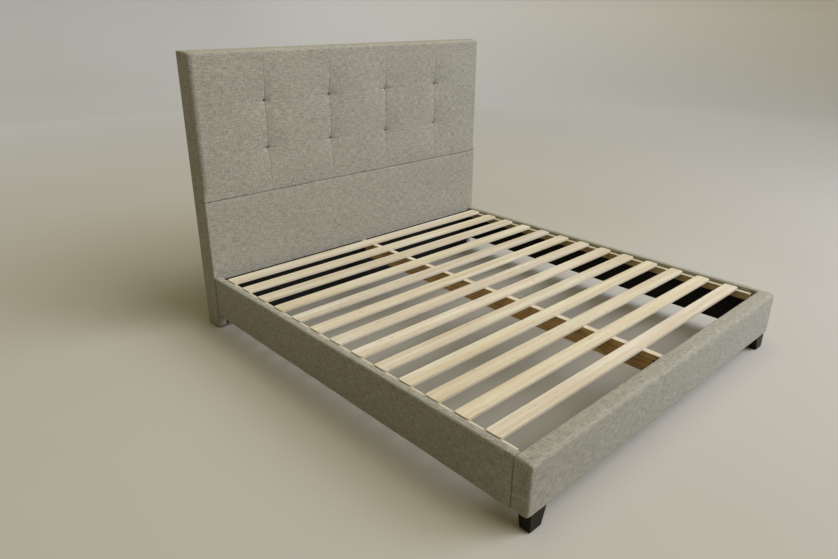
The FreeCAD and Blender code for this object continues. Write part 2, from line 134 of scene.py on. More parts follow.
def close_back(made, depth):
    """Closes the opening in a cover's back with one flat face, depth in front of its rim."""
    work = bmesh.new()
    work.from_mesh(made.data)
    rim = [edge for edge in work.edges if edge.is_boundary]
    made_edges = [item for item in bmesh.ops.extrude_edge_only(work, edges=rim)["geom"]
                  if isinstance(item, bmesh.types.BMEdge) and item.is_boundary]
    for corner in {corner for edge in made_edges for corner in edge.verts}:
        corner.co.y -= depth
    bmesh.ops.contextual_create(work, geom=made_edges)
    bmesh.ops.recalc_face_normals(work, faces=work.faces)
    work.to_mesh(made.data)
    work.free()


CLOTH_FRAMES = 18
CLOTH_STIFFNESS = 20.0
CLOTH_DAMPING = 8
HOLD_LEVELS = 20  # how finely a point's hold is told apart


def settle(made, hold, pressure, cap):
    """Cloth simulation of a padded cover, its result applied to the mesh.

    hold says how firmly each point is held where it starts, from 0 to 1, and cap how far a
    point may move.
    """
    start = coordinates(made.data).copy()
    group = made.vertex_groups.new(name="held")
    hold = np.round(hold * HOLD_LEVELS) / HOLD_LEVELS
    for value in np.unique(hold):
        if value > 0:
            group.add(np.flatnonzero(hold == value).tolist(), float(value), "REPLACE")
    cloth = made.modifiers.new("cloth", "CLOTH")
    settings = cloth.settings
    settings.quality = 6
    settings.mass = 0.25
    settings.air_damping = 3.0
    settings.tension_stiffness = CLOTH_STIFFNESS
    settings.compression_stiffness = CLOTH_STIFFNESS * 0.6
    settings.shear_stiffness = CLOTH_STIFFNESS * 0.35
    settings.bending_stiffness = 0.35
    settings.tension_damping = CLOTH_DAMPING
    settings.compression_damping = CLOTH_DAMPING
    settings.shear_damping = CLOTH_DAMPING
    settings.use_pressure = True
    settings.uniform_pressure_force = pressure
    settings.vertex_group_mass = "held"
    settings.pin_stiffness = 1.0
    settings.effector_weights.gravity = 0
    cloth.collision_settings.use_collision = False
    cloth.collision_settings.use_self_collision = False
    cloth.point_cache.frame_start = 1
    cloth.point_cache.frame_end = CLOTH_FRAMES
    for step in range(1, CLOTH_FRAMES + 1):
        bpy.context.scene.frame_set(step)
    graph = bpy.context.evaluated_depsgraph_get()
    moved = np.empty(len(start) * 3)
    made.evaluated_get(graph).data.vertices.foreach_get("co", moved)
    made.modifiers.clear()
    made.vertex_groups.clear()
    bpy.context.scene.frame_set(1)
    shift = moved.reshape(-1, 3) - start
    length = np.maximum(np.linalg.norm(shift, axis=1, keepdims=True), TINY)
    shift *= np.minimum(1, cap * np.tanh(length / cap) / length)
    set_coordinates(made.data, start + shift)


def same_radius(low_x, high_x, low_y, high_y, low_z, high_z):
    """Rounding that is the same all along: one value for each of the six sides."""
    def radii(points):
        low = np.tile((low_x, low_y, low_z), (len(points), 1))
        high = np.tile((high_x, high_y, high_z), (len(points), 1))
        return low, high
    return radii


def coordinates(mesh):
    flat = np.empty(len(mesh.vertices) * 3)
    mesh.vertices.foreach_get("co", flat)
    return flat.reshape(-1, 3)


def set_coordinates(mesh, points):
    mesh.vertices.foreach_set("co", np.ascontiguousarray(points, float).ravel())
    mesh.update()


def lay_weave(mesh, points, sides, length_axis):
    """UV map "weave", in metres along the cloth: threads run along length_axis and across it."""
    layer = mesh.uv_layers.new(name="weave")
    uv = np.empty((len(mesh.loops), 2))
    low, high = points.min(0), points.max(0)
    across = 1 - length_axis
    for polygon, (axis, far) in zip(mesh.polygons, sides):
        edge = high if far else low
        for loop in polygon.loop_indices:
            p = points[mesh.loops[loop].vertex_index]
            if axis == length_axis:
                uv[loop] = (edge[axis] + p[across], p[2])
            elif axis == 2:
                uv[loop] = (p[length_axis], edge[2] + p[across] - low[across])
            else:
                uv[loop] = (p[length_axis], p[2])
    layer.data.foreach_set("uv", uv.ravel())


def add_object(name, mesh):
    made = bpy.data.objects.new(name, mesh)
    bpy.context.scene.collection.objects.link(made)
    for polygon in mesh.polygons:
        polygon.use_smooth = True
    return made


def apply_modifiers(made):
    """Replaces the object's mesh by what its modifiers make of it."""
    graph = bpy.context.evaluated_depsgraph_get()
    mesh = bpy.data.meshes.new_from_object(made.evaluated_get(graph))
    made.modifiers.clear()
    made.data = mesh


def subdivide(made, levels):
    modifier = made.modifiers.new("smooth", "SUBSURF")
    modifier.levels = levels
    modifier.render_levels = levels
    apply_modifiers(made)


def smoothstep(low, high, value):
    t = np.clip((value - low) / (high - low), 0, 1)
    return t * t * (3 - 2 * t)


RIPPLE_WAVES = 7


def ripple(points, scale, seed):
    """Slow unevenness, mostly from -1 to 1, made of a few sine waves, the same on every run."""
    draw = np.random.default_rng(seed)
    total = np.zeros(len(points))
    for _ in range(RIPPLE_WAVES):
        direction = draw.normal(size=3)
        direction /= np.linalg.norm(direction)
        pace = 2 * math.pi / scale * draw.uniform(0.5, 1.6)
        total += np.sin(points @ direction * pace + draw.uniform(0, 2 * math.pi))
    return total / RIPPLE_WAVES ** 0.5 / 1.4


def finish_cover(made, material, *nodes):
    """A woven cover that stands for the CAD's cover and foam."""
    made.data.materials.append(material)
    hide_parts(*nodes)
    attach(made, FRAME_BODY)


# ---- material tools ----
class Nodes:
    """Short calls for building one material's node tree."""

    def __init__(self, name):
        self.material = bpy.data.materials.new(name)
        self.material.use_nodes = True
        self.tree = self.material.node_tree
        self.shader = self.tree.nodes["Principled BSDF"]

    def add(self, kind, **settings):
        node = self.tree.nodes.new("ShaderNode" + kind)
        for key, value in settings.items():
            setattr(node, key, value)
        return node

    def link(self, source, target):
        if isinstance(source, (int, float, tuple)):
            target.default_value = source
        else:
            self.tree.links.new(source, target)

    def math(self, operation, a, b):
        node = self.add("Math", operation=operation)
        for socket, value in zip(node.inputs, (a, b)):
            self.link(value, socket)
        return node.outputs[0]

    def here(self):
        """A point's own place on the piece."""
        return self.add("TexCoord").outputs["Object"]

    def place(self, source, scale, move=(0, 0, 0)):
        """source scaled, by one number or one along each axis, and moved."""
        node = self.add("Mapping")
        self.link(source, node.inputs["Vector"])
        node.inputs["Scale"].default_value = scale if isinstance(scale, tuple) else (scale,) * 3
        node.inputs["Location"].default_value = move
        return node.outputs["Vector"]

    def noise(self, vector, detail=2.0, roughness=0.5):
        node = self.add("TexNoise")
        self.link(vector, node.inputs["Vector"])
        node.inputs["Scale"].default_value = 1.0
        node.inputs["Detail"].default_value = detail
        node.inputs["Roughness"].default_value = roughness
        return node.outputs["Fac"]

    def spread(self, value, low, high, to_low=0.0, to_high=1.0):
        """value stretched from low...high to to_low...to_high, and kept within them."""
        node = self.add("MapRange", clamp=True)
        self.link(value, node.inputs["Value"])
        ends = {"From Min": low, "From Max": high, "To Min": to_low, "To Max": to_high}
        for key, number in ends.items():
            node.inputs[key].default_value = number
        return node.outputs["Result"]

    def mix(self, share, a, b, blend="MIX"):
        node = self.add("Mix", data_type="RGBA", blend_type=blend)
        sockets = [s for s in node.inputs if s.type == "RGBA"]
        self.link(share, node.inputs[0])
        self.link(a, sockets[0])
        self.link(b, sockets[1])
        return [s for s in node.outputs if s.type == "RGBA"][0]

    def bump(self, height, strength, distance, under=None):
        node = self.add("Bump")
        self.link(height, node.inputs["Height"])
        node.inputs["Strength"].default_value = strength
        node.inputs["Distance"].default_value = distance
        if under is not None:
            self.link(under, node.inputs["Normal"])
        return node.outputs["Normal"]

    def done(self, base, normal=None, **values):
        self.link(base, self.shader.inputs["Base Color"])
        if normal is not None:
            self.link(normal, self.shader.inputs["Normal"])
        for key, value in values.items():
            self.link(value, self.shader.inputs[key])
        return self.material


def colour(r, g, b):
    return (r, g, b, 1.0)


def woven_fabric(name):
    """Grey-beige linen look: fine plain weave, light and dark yarns, slubs along and across."""
    n = Nodes(name)
    uv = n.add("UVMap", uv_map="weave").outputs["UV"]
    slub_along = n.noise(n.place(uv, (26, 230, 1)), detail=3, roughness=0.6)
    slub_up = n.noise(n.place(uv, (240, 30, 1), (3, 7, 0)), detail=3, roughness=0.6)
    fleck = n.noise(n.place(uv, (240, 240, 1), (11, 5, 0)), detail=3, roughness=0.75)
    streak = n.noise(n.place(uv, (5, 230, 1), (5, 1, 0)), detail=3, roughness=0.6)
    patch = n.noise(n.place(uv, (3.1, 4.3, 1), (2, 9, 0)), detail=2)
    tone = n.spread(slub_along, 0.32, 0.68, -0.46, 0.46)
    for part, low, high, depth in ((slub_up, 0.32, 0.68, 0.38), (fleck, 0.3, 0.7, 0.15),
                                   (streak, 0.3, 0.7, 0.16), (patch, 0.25, 0.75, 0.07)):
        tone = n.math("ADD", tone, n.spread(part, low, high, -depth, depth))
    share = n.spread(tone, -1.0, 1.0)
    cloth = n.mix(share, colour(0.090, 0.088, 0.066), colour(0.452, 0.444, 0.366))
    warm = n.spread(n.noise(n.place(uv, (150, 34, 1), (1, 8, 0))), 0.45, 0.65)
    cloth = n.mix(n.math("MULTIPLY", warm, 0.3), cloth, colour(0.300, 0.262, 0.196))
    yarn = n.place(uv, (900, 900, 1))
    along = n.add("TexWave", wave_type="BANDS", bands_direction="X")
    across = n.add("TexWave", wave_type="BANDS", bands_direction="Y")
    for wave in (along, across):
        n.link(yarn, wave.inputs["Vector"])
        wave.inputs["Scale"].default_value = 1.0
        wave.inputs["Distortion"].default_value = 1.2
        wave.inputs["Detail Scale"].default_value = 0.6
    weave = n.math("MULTIPLY", along.outputs["Fac"], across.outputs["Fac"])
    height = n.math("ADD", n.math("MULTIPLY", weave, 0.5), share)
    normal = n.bump(height, 0.6, 0.0009)
    return n.done(cloth, normal, **{"Roughness": 0.92, "Specular IOR Level": 0.2,
                                    "Sheen Weight": 0.10, "Sheen Roughness": 0.5})


def black_cloth(name):
    """Thin black non-woven lining: faint fibres, slight sheen."""
    n = Nodes(name)
    at = n.here()
    fibre = n.noise(n.place(at, 420), detail=4, roughness=0.7)
    cloud = n.noise(n.place(at, 9), detail=3)
    cloth = n.mix(n.spread(fibre, 0.3, 0.7),
                  colour(0.006, 0.006, 0.006), colour(0.018, 0.018, 0.017))
    cloth = n.mix(n.spread(cloud, 0.3, 0.7, 0, 0.35), cloth, colour(0.022, 0.021, 0.019))
    return n.done(cloth, n.bump(fibre, 0.4, 0.0005),
                  **{"Roughness": 0.95, "Specular IOR Level": 0.2})


def dust_cloth(name):
    """Black spun dust cloth over the back: pressed dots, and faint pulls between its staples."""
    n = Nodes(name)
    at = n.here()
    dots = n.add("TexVoronoi", feature="F1")
    n.link(n.place(at, 330), dots.inputs["Vector"])
    dots.inputs["Randomness"].default_value = 0.35
    fibre = n.noise(n.place(at, (260, 260, 900)), detail=4, roughness=0.7)
    pulls = n.noise(n.place(at, (7, 7, 2.2)), detail=3, roughness=0.45)
    cloth = n.mix(n.spread(fibre, 0.3, 0.7),
                  colour(0.010, 0.010, 0.010), colour(0.030, 0.029, 0.027))
    cloth = n.mix(n.spread(pulls, 0.35, 0.7, 0, 0.45), cloth, colour(0.036, 0.035, 0.032))
    dot = n.spread(dots.outputs["Distance"], 0.0, 0.3, 0.5, 0)
    cloth = n.mix(dot, cloth, colour(0.006, 0.006, 0.006))
    pressed = n.bump(dots.outputs["Distance"], 0.3, 0.0004)
    return n.done(cloth, n.bump(pulls, 0.35, 0.012, pressed), **{
        "Roughness": 0.72, "Specular IOR Level": 0.35,
        "Sheen Weight": 0.12, "Sheen Roughness": 0.4})


def pine(name, seed, light, dark, along="x", side=None):
    """Sawn pale softwood: straight grain along one axis, soft bands, flecks and a few small knots.

    side, when given, is painted shade: a colour multiplied into the upright faces so that they
    come out darker than the top, as faces in shade do.
    """
    n = Nodes(name)
    at = n.here()
    lengthwise = {"x": (1, 0, 0), "y": (0, 1, 0), "z": (0, 0, 1)}[along]

    def stretched(long, short):
        return tuple(long if axis else short for axis in lengthwise)

    move = (seed * 3.7, seed * 1.9, seed * 5.3)
    sway = n.add("VectorMath", operation="MULTIPLY_ADD")
    n.link(n.noise(n.place(at, stretched(2.2, 4.0), move), detail=1), sway.inputs[0])
    sway.inputs[1].default_value = tuple(0.0 if axis else 0.012 for axis in lengthwise)
    n.link(at, sway.inputs[2])
    swayed = sway.outputs[0]
    band = n.noise(n.place(swayed, stretched(1.2, 38), move), detail=3, roughness=0.5)
    grain = n.noise(n.place(swayed, stretched(3.0, 210), move), detail=3, roughness=0.6)
    fleck = n.noise(n.place(swayed, stretched(34, 420), move), detail=2, roughness=0.6)
    cloud = n.noise(n.place(at, stretched(2.6, 9), move), detail=2)
    wood = n.mix(n.spread(band, 0.34, 0.66), light, dark)
    wood = n.mix(n.spread(grain, 0.42, 0.70, 0, 0.55), wood, dark)
    wood = n.mix(n.spread(cloud, 0.40, 0.75, 0, 0.35), wood, colour(0.44, 0.35, 0.235))
    wood = n.mix(n.spread(fleck, 0.56, 0.74, 0, 0.35), wood, colour(0.27, 0.20, 0.12))
    knot = n.add("TexVoronoi", feature="F1")
    knot_move = (seed * 1.31, seed * 2.17, seed * 0.73)
    n.link(n.place(swayed, stretched(1.9, 9), knot_move), knot.inputs["Vector"])
    ring = n.spread(knot.outputs["Distance"], 0.03, 0.10, 1, 0)
    halo = n.spread(knot.outputs["Distance"], 0.06, 0.26, 1, 0)
    wood = n.mix(n.math("MULTIPLY", halo, 0.30), wood, colour(0.42, 0.30, 0.17))
    wood = n.mix(n.math("MULTIPLY", ring, 0.75), wood, colour(0.16, 0.10, 0.05))
    # Painted shade: faces that do not face up, found by their normal, are multiplied by side and
    # by streaks along the grain, so the top reads lit and the sides shaded.
    if side is not None:
        facing = n.add("SeparateXYZ")
        n.link(n.add("NewGeometry").outputs["Normal"], facing.inputs[0])
        upright = n.spread(facing.outputs["Z"], 0.35, 0.85, 1, 0)
        streaks = n.noise(n.place(swayed, stretched(8, 90), move), detail=4, roughness=0.65)
        streaks = n.mix(n.spread(streaks, 0.38, 0.64),
                        colour(1.18, 1.15, 1.10), colour(0.72, 0.68, 0.60))
        side_shaded = n.mix(1.0, wood, side, blend="MULTIPLY")
        side_shaded = n.mix(1.0, side_shaded, streaks, blend="MULTIPLY")
        wood = n.mix(upright, wood, side_shaded)
    rough = n.spread(grain, 0.3, 0.7, 0.55, 0.75)
    normal = n.bump(n.math("ADD", grain, n.math("MULTIPLY", fleck, 0.6)), 0.3, 0.0006)
    return n.done(wood, normal, **{"Roughness": rough, "Specular IOR Level": 0.3})


def twine(name):
    """Waxed upholstery twine, two plies twisted together."""
    n = Nodes(name)
    at = n.here()
    ply = n.add("TexWave", wave_type="BANDS", bands_direction="DIAGONAL")
    n.link(n.place(at, 260), ply.inputs["Vector"])
    fibre = n.noise(n.place(at, 900), detail=2)
    body = n.mix(ply.outputs["Fac"],
                 colour(0.030, 0.028, 0.022), colour(0.060, 0.057, 0.046))
    body = n.mix(n.spread(fibre, 0.4, 0.7, 0, 0.4), body, colour(0.085, 0.080, 0.066))
    return n.done(body, n.bump(ply.outputs["Fac"], 0.5, 0.0004), Roughness=0.7)


def espresso_wood(name):
    """Dark stained and lacquered hardwood, its edges rubbed a little lighter."""
    n = Nodes(name)
    at = n.here()
    grain = n.noise(n.place(at, (60, 60, 9)), detail=4, roughness=0.6)
    wood = n.mix(n.spread(grain, 0.35, 0.7),
                 colour(0.0042, 0.0040, 0.0012), colour(0.021, 0.0202, 0.0062))
    worn = n.add("NewGeometry").outputs["Pointiness"]
    wood = n.mix(n.spread(worn, 0.52, 0.62, 0, 0.35), wood, colour(0.06, 0.045, 0.03))
    rough = n.spread(grain, 0.3, 0.7, 0.32, 0.46)
    return n.done(wood, n.bump(grain, 0.12, 0.0004), **{
        "Roughness": rough, "Specular IOR Level": 0.1, "Coat Weight": 0.02, "Coat Roughness": 0.3})


def painted_steel(name):
    """Black powder coat with a fine orange-peel surface."""
    n = Nodes(name)
    at = n.here()
    peel = n.noise(n.place(at, 700), detail=2)
    dust = n.noise(n.place(at, 30), detail=4)
    paint = n.mix(n.spread(dust, 0.4, 0.8),
                  colour(0.013, 0.013, 0.013), colour(0.035, 0.034, 0.032))
    rough = n.spread(dust, 0.3, 0.7, 0.4, 0.6)
    return n.done(paint, n.bump(peel, 0.2, 0.0003), Roughness=rough)


def zinc_steel(name):
    """Bright zinc-plated fasteners, with faint yellowing."""
    n = Nodes(name)
    at = n.here()
    cloud = n.noise(n.place(at, 120), detail=4)
    metal = n.mix(n.spread(cloud, 0.3, 0.7), colour(0.40, 0.39, 0.36), colour(0.28, 0.265, 0.225))
    rough = n.spread(cloud, 0.3, 0.7, 0.3, 0.5)
    return n.done(metal, n.bump(cloud, 0.1, 0.0003), Metallic=1.0, Roughness=rough)


def glide_plastic(name):
    """Black moulded plastic, faintly gritty."""
    n = Nodes(name)
    at = n.here()
    grit = n.noise(n.place(at, 400), detail=3)
    body = n.mix(n.spread(grit, 0.3, 0.7), colour(0.02, 0.02, 0.02), colour(0.05, 0.05, 0.048))
    return n.done(body, n.bump(grit, 0.2, 0.0003), Roughness=0.6)


def floor_surface(name):
    """Plain pale studio floor, very slightly mottled, and made paler far away by painted light.

    Where it sweeps up, painted shade makes it greyer on the left and painted light makes it paler
    on the right.
    """
    n = Nodes(name)
    at = n.here()
    cloud = n.noise(n.place(at, 0.7), detail=3)
    tone = n.mix(n.spread(cloud, 0.3, 0.7),
                 colour(0.388, 0.373, 0.330), colour(0.400, 0.385, 0.342))
    # Painted light: the floor's colour grows paler from 2.5 m to 9 m out.
    far = n.add("VectorMath", operation="LENGTH")
    n.link(at, far.inputs[0])
    tone = n.mix(n.spread(far.outputs["Value"], 2.5, 9.0), tone, colour(0.520, 0.535, 0.560))
    # Painted shade on the left of the sweep, and painted light on its right, higher up.
    split = n.add("SeparateXYZ")
    n.link(at, split.inputs[0])
    cove = n.spread(far.outputs["Value"], 8.5, 10.5)
    left = n.spread(split.outputs["X"], 1.0, 6.0, 1, 0)
    tone = n.mix(n.math("MULTIPLY", cove, left), tone, colour(0.415, 0.420, 0.420))
    raised = n.spread(split.outputs["Z"], 0.0, 1.5)
    right = n.spread(split.outputs["X"], 4.5, 11.0)
    tone = n.mix(n.math("MULTIPLY", raised, right), tone, colour(0.820, 0.830, 0.860))
    return n.done(tone, Roughness=0.85, **{"Specular IOR Level": 0.15})


# ---- sizes from the frame ----
upper_low, upper_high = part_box("headboard_upper_cover")
lower_low, lower_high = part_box("headboard_lower_cover")
foot_low, foot_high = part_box("foot_cover")
cloth_low, cloth_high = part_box("headboard_back_cloth")
upper_panel_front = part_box("headboard_upper_panel")[0].y
lower_panel_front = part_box("headboard_lower_panel")[0].y
deck_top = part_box("slat_01")[1].z
tie_points = np.array([v.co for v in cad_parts["tuft_ties"].data.vertices])


def centres(values, gap):
    """Middle of each cluster of values that lie closer together than gap."""
    found = []
    for value in sorted(values):
        if found and value - found[-1][-1] < gap:
            found[-1].append(value)
        else:
            found.append([value])
    return [(group[0] + group[-1]) / 2 for group in found]


TUFT_WIDTH = 0.02  # one tuft's twine is narrower than this
tuft_columns = centres(tie_points[:, 0], TUFT_WIDTH)
tuft_rows = centres(tie_points[:, 2], TUFT_WIDTH)
point_depth = tie_points[:, 1].min() - upper_low.y + 15 * MM

SEAM_TUCK = 1.5 * MM  # rounding along a seam between two covers
HARD_EDGE = 5 * MM  # rounding where the cover lies on timber
BACK_STEP = 1.5 * MM  # how far inside a cover's back the opening in it is closed
LINING_ROOM = 0.003  # how far a cover is drawn back behind a lining or ledge
PAD_PRESSURE, PAD_CAP = 0.4, 0.0015  # the plain covers' simulation

TUFT_STEP = 0.0125  # lattice step of the tufted front
TUFT_PULL, TUFT_PULL_REACH = 0.0090, 0.015  # close round a tuft
TUFT_DISH, TUFT_DISH_REACH = 0.0100, 0.055  # wide round a tuft
VALLEY, VALLEY_BETWEEN = 0.0032, 0.0052  # all along a column, and more between its two tufts
VALLEY_HALF_WIDTH = 0.070
# Depths of the sewn lines: everywhere, more near a tuft, and how far that reaches.
UPRIGHT_SEAM, UPRIGHT_SEAM_AT_TUFT, UPRIGHT_SEAM_REACH = 0.0011, 0.0014, 0.10
LEVEL_SEAM, LEVEL_SEAM_AT_TUFT, LEVEL_SEAM_REACH = 0.0005, 0.0022, 0.045
POINT_REACH, POINT_EDGE = 0.0085, 0.022  # a tuft's sunk point


# ---- headboard ----
def along_lines(values, lines, width):
    """1 on the nearest line, falling to 0 at width."""
    nearest = np.min(np.abs(values[:, None] - np.array(lines)), axis=1)
    return np.clip(1 - nearest / width, 0, 1)


def in_back_cloth(axis, far, middle):
    """True for a cell of the back that lies under the black back cloth."""
    if axis != 1 or not far:
        return False
    return cloth_low.x < middle[0] < cloth_high.x and cloth_low.z < middle[2] < cloth_high.z


def tuft_distance(points):
    """Distance across the front from each point to its nearest tuft."""
    gaps = [np.hypot(points[:, 0] - x, points[:, 2] - z) for x in tuft_columns for z in tuft_rows]
    return np.min(gaps, axis=0)


def headboard_upper():
    """The tufted upper cover, plump at its free edges and tight along the main seam."""
    low, high = upper_low, upper_high
    near_edges = (0, 0.0025, 0.007, 0.014, 0.022, 0.032)
    near_tufts = (0, 0.003, 0.009, 0.018)
    xs = stations(low.x, high.x, TUFT_STEP, tuft_columns, near_tufts)
    xs = np.union1d(xs, stations(low.x, high.x, ONLY_MARKS, [low.x, high.x], near_edges))
    xs = thinned(np.union1d(xs, [cloth_low.x, cloth_high.x]))
    ys = stations(low.y, high.y, 0.013, [low.y, high.y], (0.003, 0.009, 0.018))
    zs = stations(low.z, high.z, TUFT_STEP, tuft_rows, near_tufts)
    zs = np.union1d(zs, stations(low.z, high.z, ONLY_MARKS, [low.z, high.z], near_edges))
    zs = thinned(np.union1d(zs, [cloth_high.z]))

    def radii(points):
        rise = smoothstep(low.z, low.z + 0.05, points[:, 2])
        depth = smoothstep(upper_panel_front - 0.022, upper_panel_front, points[:, 1])
        side = (SEAM_TUCK + (0.027 - SEAM_TUCK) * rise) * (1 - depth) + HARD_EDGE * depth
        front = 0.007 + 0.021 * rise
        top = 0.015 * (1 - depth) + HARD_EDGE * depth
        back = np.full(len(points), HARD_EDGE)
        bottom = 0.007 * (1 - depth) + SEAM_TUCK * depth
        return np.stack([side, front, bottom], 1), np.stack([side, back, top], 1)

    mesh, flat, sides = block_mesh("headboard_upper_padding", xs, ys, zs, radii, in_back_cloth)
    lay_weave(mesh, flat, sides, 0)
    made = add_object("headboard_upper_padding", mesh)
    set_coordinates(mesh, tufted(coordinates(mesh), flat))
    inward = np.minimum(flat[:, 0] - low.x, high.x - flat[:, 0])
    inward = np.minimum(inward, high.z - flat[:, 2])
    hold = 1 - smoothstep(0.030, 0.080, inward)
    hold[flat[:, 1] > low.y + SAME_PLACE] = 1.0
    hold = np.maximum(hold, 1 - smoothstep(0.006, 0.030, flat[:, 2] - low.z))
    hold = np.maximum(hold, 1 - smoothstep(0.008, 0.016, tuft_distance(flat)))
    settle(made, hold, pressure=0.6, cap=0.004)
    subdivide(made, 1)
    sew(made.data)
    close_back(made, BACK_STEP)
    return made


def tufted(points, flat):
    """The front pulled in at each tuft, with a soft valley up and down each column of tufts."""
    points = points.copy()
    front = smoothstep(upper_low.y + 0.016, upper_low.y + 0.002, points[:, 1])
    away = tuft_distance(flat)
    columns = along_lines(flat[:, 0], tuft_columns, VALLEY_HALF_WIDTH) ** 1.5
    between = np.exp(-((flat[:, 2] - sum(tuft_rows) / 2) / 0.20) ** 4)
    ends = smoothstep(upper_low.z + 0.01, upper_low.z + 0.12, flat[:, 2])
    ends *= smoothstep(upper_high.z - 0.03, upper_high.z - 0.12, flat[:, 2])
    pull = TUFT_PULL * np.exp(-away / TUFT_PULL_REACH)
    pull = pull + TUFT_DISH * np.exp(-(away / TUFT_DISH_REACH) ** 1.3)
    valley = (VALLEY + VALLEY_BETWEEN * between) * columns * ends
    points[:, 1] += front * (pull ** 3 + valley ** 3) ** (1 / 3)
    points[:, 1] += front * 0.0010 * ripple(flat, 0.30, 11) * smoothstep(0.02, 0.10, away)
    return points


def sew(mesh):
    """The thin sunk lines where the front's panels are stitched, and the tufts' points."""
    points = coordinates(mesh).copy()
    away = tuft_distance(points)
    front = smoothstep(upper_low.y + 0.030, upper_low.y + 0.010, points[:, 1])
    near = np.exp(-(away / UPRIGHT_SEAM_REACH) ** 2)
    crease = np.exp(-(away / LEVEL_SEAM_REACH) ** 2)
    upright = along_lines(points[:, 0], tuft_columns, 0.0042)
    level = along_lines(points[:, 2], tuft_rows, 0.0036)
    points[:, 1] += front * np.maximum((UPRIGHT_SEAM + UPRIGHT_SEAM_AT_TUFT * near) * upright,
                                       (LEVEL_SEAM + LEVEL_SEAM_AT_TUFT * crease) * level)
    pit = upper_low.y + point_depth * np.exp(-(away / POINT_REACH) ** 2)
    in_pit = away < POINT_EDGE
    points[in_pit, 1] = np.maximum(points[in_pit, 1], pit[in_pit])
    set_coordinates(mesh, points)


def headboard_lower():
    """The plain lower cover, from the main seam down to its glides."""
    low, high = lower_low, lower_high
    near = (0, 0.003, 0.008, 0.016)
    xs = stations(low.x, high.x, 0.020, [low.x, high.x], near)
    xs = thinned(np.union1d(xs, [cloth_low.x, cloth_high.x]))
    ys = stations(low.y, high.y, 0.015, [low.y, high.y], (0.003, 0.009))
    zs = stations(low.z, high.z, 0.020, [low.z, high.z], near)
    zs = thinned(np.union1d(zs, [cloth_low.z]))

    def radii(points):
        depth = smoothstep(lower_panel_front - 0.008, lower_panel_front, points[:, 1])
        foot = smoothstep(low.z + 0.05, low.z + 0.01, points[:, 2])
        side = (0.008 + 0.003 * foot) * (1 - depth) + HARD_EDGE * depth
        front = np.full(len(points), 0.009)
        bottom = 0.012 * (1 - depth) + HARD_EDGE * depth
        top = 0.006 * (1 - depth) + SEAM_TUCK * depth
        back = np.full(len(points), HARD_EDGE)
        return np.stack([side, front, bottom], 1), np.stack([side, back, top], 1)

    mesh, flat, sides = block_mesh("headboard_lower_padding", xs, ys, zs, radii, in_back_cloth)
    lay_weave(mesh, flat, sides, 0)
    made = add_object("headboard_lower_padding", mesh)
    start = coordinates(mesh).copy()
    front = smoothstep(low.y + 0.010, low.y + 0.001, start[:, 1])
    above_deck = smoothstep(deck_top + 0.005, deck_top + 0.12, flat[:, 2])
    start[:, 1] += front * above_deck * 0.0009 * (1 + ripple(flat, 0.45, 23))
    set_coordinates(mesh, start)
    inward = np.minimum(flat[:, 0] - low.x, high.x - flat[:, 0])
    inward = np.minimum(inward, high.z - flat[:, 2])
    hold = 1 - smoothstep(0.010, 0.050, inward)
    hold[(flat[:, 1] > low.y + SAME_PLACE) | (flat[:, 2] < deck_top + 0.01)] = 1.0
    settle(made, hold, PAD_PRESSURE, PAD_CAP)
    subdivide(made, 1)
    close_back(made, BACK_STEP)
    return made


# ---- rails and footboard ----
def side_rail(name, side):
    """One rail's cover; side is -1 for the left rail and 1 for the right."""
    low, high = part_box(f"{name}_rail_cover")
    ledge_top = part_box(f"{name}_slat_ledge")[1].z
    lining_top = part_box(f"{name}_rail_lining")[1].z
    xs = stations(low.x, high.x, 0.009, [low.x, high.x], (0.003, 0.008))
    ys = stations(low.y, high.y, 0.018, [low.y, high.y], (0.003, 0.009))
    zs = stations(low.z, high.z, 0.012, [low.z, high.z, ledge_top, lining_top], (0.003, 0.008))

    def radii(points):
        rise = smoothstep(low.z + 0.03, high.z - 0.05, points[:, 2])
        inner = 0.004 + 0.007 * rise
        outer = 0.009 + 0.005 * rise
        left, right = (inner, outer) if side > 0 else (outer, inner)
        end = np.full(len(points), 0.004)
        bottom = np.full(len(points), 0.004)
        top = np.full(len(points), 0.010)
        return np.stack([left, end, bottom], 1), np.stack([right, end, top], 1)

    mesh, flat, sides = block_mesh(f"{name}_rail_padding", xs, ys, zs, radii)
    lay_weave(mesh, flat, sides, 1)
    points = coordinates(mesh)
    inner = low.x if side > 0 else high.x
    behind = np.abs(flat[:, 0] - inner) < SAME_PLACE
    behind &= flat[:, 2] < ledge_top - 0.008
    points[behind, 0] += side * LINING_ROOM
    outer = np.abs(flat[:, 0] - (high.x if side > 0 else low.x)) < SAME_PLACE
    points[outer, 0] += side * 0.0008 * ripple(flat[outer], 0.4, 31 + side)
    on_top = np.abs(flat[:, 2] - high.z) < SAME_PLACE
    points[on_top, 2] += 0.0007 * ripple(flat[on_top], 0.3, 41 + side)
    set_coordinates(mesh, points)
    made = add_object(f"{name}_rail_padding", mesh)
    inward = np.minimum(np.minimum(flat[:, 1] - low.y, high.y - flat[:, 1]),
                        np.minimum(flat[:, 2] - low.z, high.z - flat[:, 2]))
    hold = 1 - smoothstep(0.012, 0.040, inward)
    hold[~outer] = 1.0
    settle(made, hold, PAD_PRESSURE, PAD_CAP)
    subdivide(made, 1)
    return made


